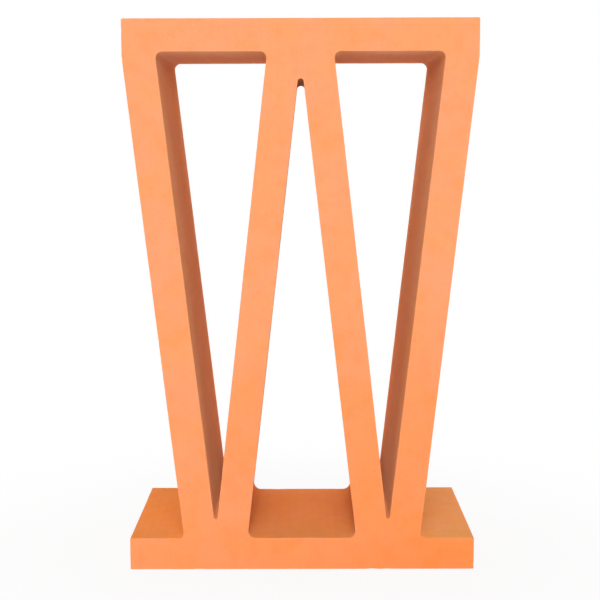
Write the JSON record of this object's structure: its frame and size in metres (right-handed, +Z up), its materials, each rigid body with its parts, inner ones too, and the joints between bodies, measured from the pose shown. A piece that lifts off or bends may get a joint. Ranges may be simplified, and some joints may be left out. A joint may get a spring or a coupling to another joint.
{
  "type": "decorative screen block",
  "caption": "Extruded fired-clay screen block: a W of leaning walls between a top and a bottom slab, with tapering through openings that let air and light pass a wall.",
  "frame": {"origin": "centre of the underside of the bottom slab, midway between the front and back faces", "axes": "+Z up, from the bottom slab to the top slab; +X to the right, along the slabs' length; the front face looks towards -Y and the openings run along Y"},
  "size_m": [0.19, 0.11, 0.3],
  "materials": {
    "terracotta": "matte, unglazed, fired orange clay"
  },
  "bodies": {
    "root": {"screen_block": "terracotta"}
  },
  "joints": []
}
